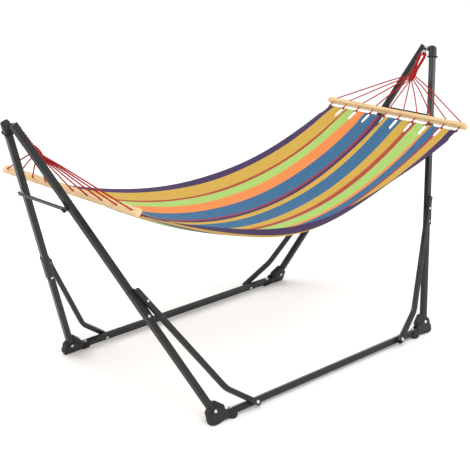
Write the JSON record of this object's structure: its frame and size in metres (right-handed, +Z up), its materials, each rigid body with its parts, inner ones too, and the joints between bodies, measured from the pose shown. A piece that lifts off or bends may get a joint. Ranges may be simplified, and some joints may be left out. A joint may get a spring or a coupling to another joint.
{
  "type": "hammock on stand",
  "caption": "Striped spreader-bar hammock hung on red cords from a folding black steel tube stand with leaning legs, bent braces and plastic feet.",
  "frame": {"origin": "on the floor, at the centre of the stand", "axes": "+X along the hammock and the rails, towards the end whose squared leg is on the far side; +Y from the near side frame to the far one; +Z up"},
  "size_m": [2.3392, 0.9724, 1.1554],
  "materials": {
    "powder_coat": "semi-matt anthracite powder coat",
    "black_plastic": "fine matt moulding",
    "zinc_steel": "bright zinc plate",
    "pine": "clear satin",
    "red_cord": "twisted cord",
    "striped_cloth": "plain woven cotton in stripes"
  },
  "bodies": {
    "hammock": {"bar_left": "pine", "bar_right": "pine", "clew_left": "red_cord", "clew_right": "red_cord", "cords_left": "red_cord", "cords_right": "red_cord", "eye_loop_left": "red_cord", "eye_loop_right": "red_cord", "fabric": "striped_cloth", "lacing_left": "red_cord", "lacing_right": "red_cord"},
    "far_side": {"brace_brackets_far": "powder_coat", "brace_caps_far": "black_plastic", "brace_far_left": "powder_coat", "brace_far_right": "powder_coat", "brace_pins_far": "zinc_steel", "brace_rivets_far": "zinc_steel", "bracket_bolt_far": "black_plastic", "bracket_rivets_far": "zinc_steel", "foot_bolts_far": "zinc_steel", "hinge_pin_far": "black_plastic", "hook_bracket_far": "zinc_steel", "knuckle_far_left": "black_plastic", "leg_boots_far": "black_plastic", "leg_far_left": "powder_coat", "leg_far_right": "powder_coat", "leg_pivots_far": "zinc_steel", "rail_brackets_far": "powder_coat", "rail_far": "powder_coat", "saddle_feet_far": "black_plastic", "strut_bolt_far": "zinc_steel", "strut_clip_far": "black_plastic", "top_plug_far": "black_plastic"},
    "near_side": {"brace_brackets_near": "powder_coat", "brace_caps_near": "black_plastic", "brace_near_left": "powder_coat", "brace_near_right": "powder_coat", "brace_pins_near": "zinc_steel", "brace_rivets_near": "zinc_steel", "bracket_bolt_near": "black_plastic", "bracket_rivets_near": "zinc_steel", "foot_bolts_near": "zinc_steel", "hinge_pin_near": "black_plastic", "hook_bracket_near": "zinc_steel", "knuckle_near_right": "black_plastic", "leg_boots_near": "black_plastic", "leg_near_left": "powder_coat", "leg_near_right": "powder_coat", "leg_pivots_near": "zinc_steel", "rail_brackets_near": "powder_coat", "rail_near": "powder_coat", "saddle_feet_near": "black_plastic", "strut_bolt_near": "zinc_steel", "strut_clip_near": "black_plastic", "top_plug_near": "black_plastic"},
    "hooks": {"hook_left": "zinc_steel", "hook_right": "zinc_steel"},
    "strut_left": {"strut_left": "powder_coat"},
    "strut_right": {"strut_right": "powder_coat"}
  },
  "joints": [
    {"name": "side_fold", "type": "hinge", "parent": "near_side", "child": "far_side", "pos_m": [0, 0, 1.138], "axis": [-1, 0, 0], "range_deg": [0, 40]},
    {"name": "hooks_turn", "type": "hinge", "parent": "near_side", "child": "hooks", "pos_m": [0, 0, 1.138], "axis": [-1, 0, 0], "range_deg": [0, 20]},
    {"name": "hammock_swing", "type": "hinge", "parent": "hooks", "child": "hammock", "pos_m": [0, 0, 1.11048], "axis": [1, 0, 0], "range_deg": [-20, 20]},
    {"name": "strut_right_fold", "type": "hinge", "parent": "near_side", "child": "strut_right", "pos_m": [1.01964, -0.13247, 0.86086], "axis": [0.9024, 0, -0.431], "range_deg": [0, 70]},
    {"name": "strut_left_fold", "type": "hinge", "parent": "far_side", "child": "strut_left", "pos_m": [-1.01964, 0.13247, 0.86086], "axis": [-0.9024, 0, -0.431], "range_deg": [0, 70]}
  ],
  "couplings": [
    {"joint": "hooks_turn", "follows": "side_fold", "ratio": 0.5},
    {"joint": "strut_right_fold", "follows": "side_fold", "ratio": 1.75},
    {"joint": "strut_left_fold", "follows": "side_fold", "ratio": 1.75}
  ]
}
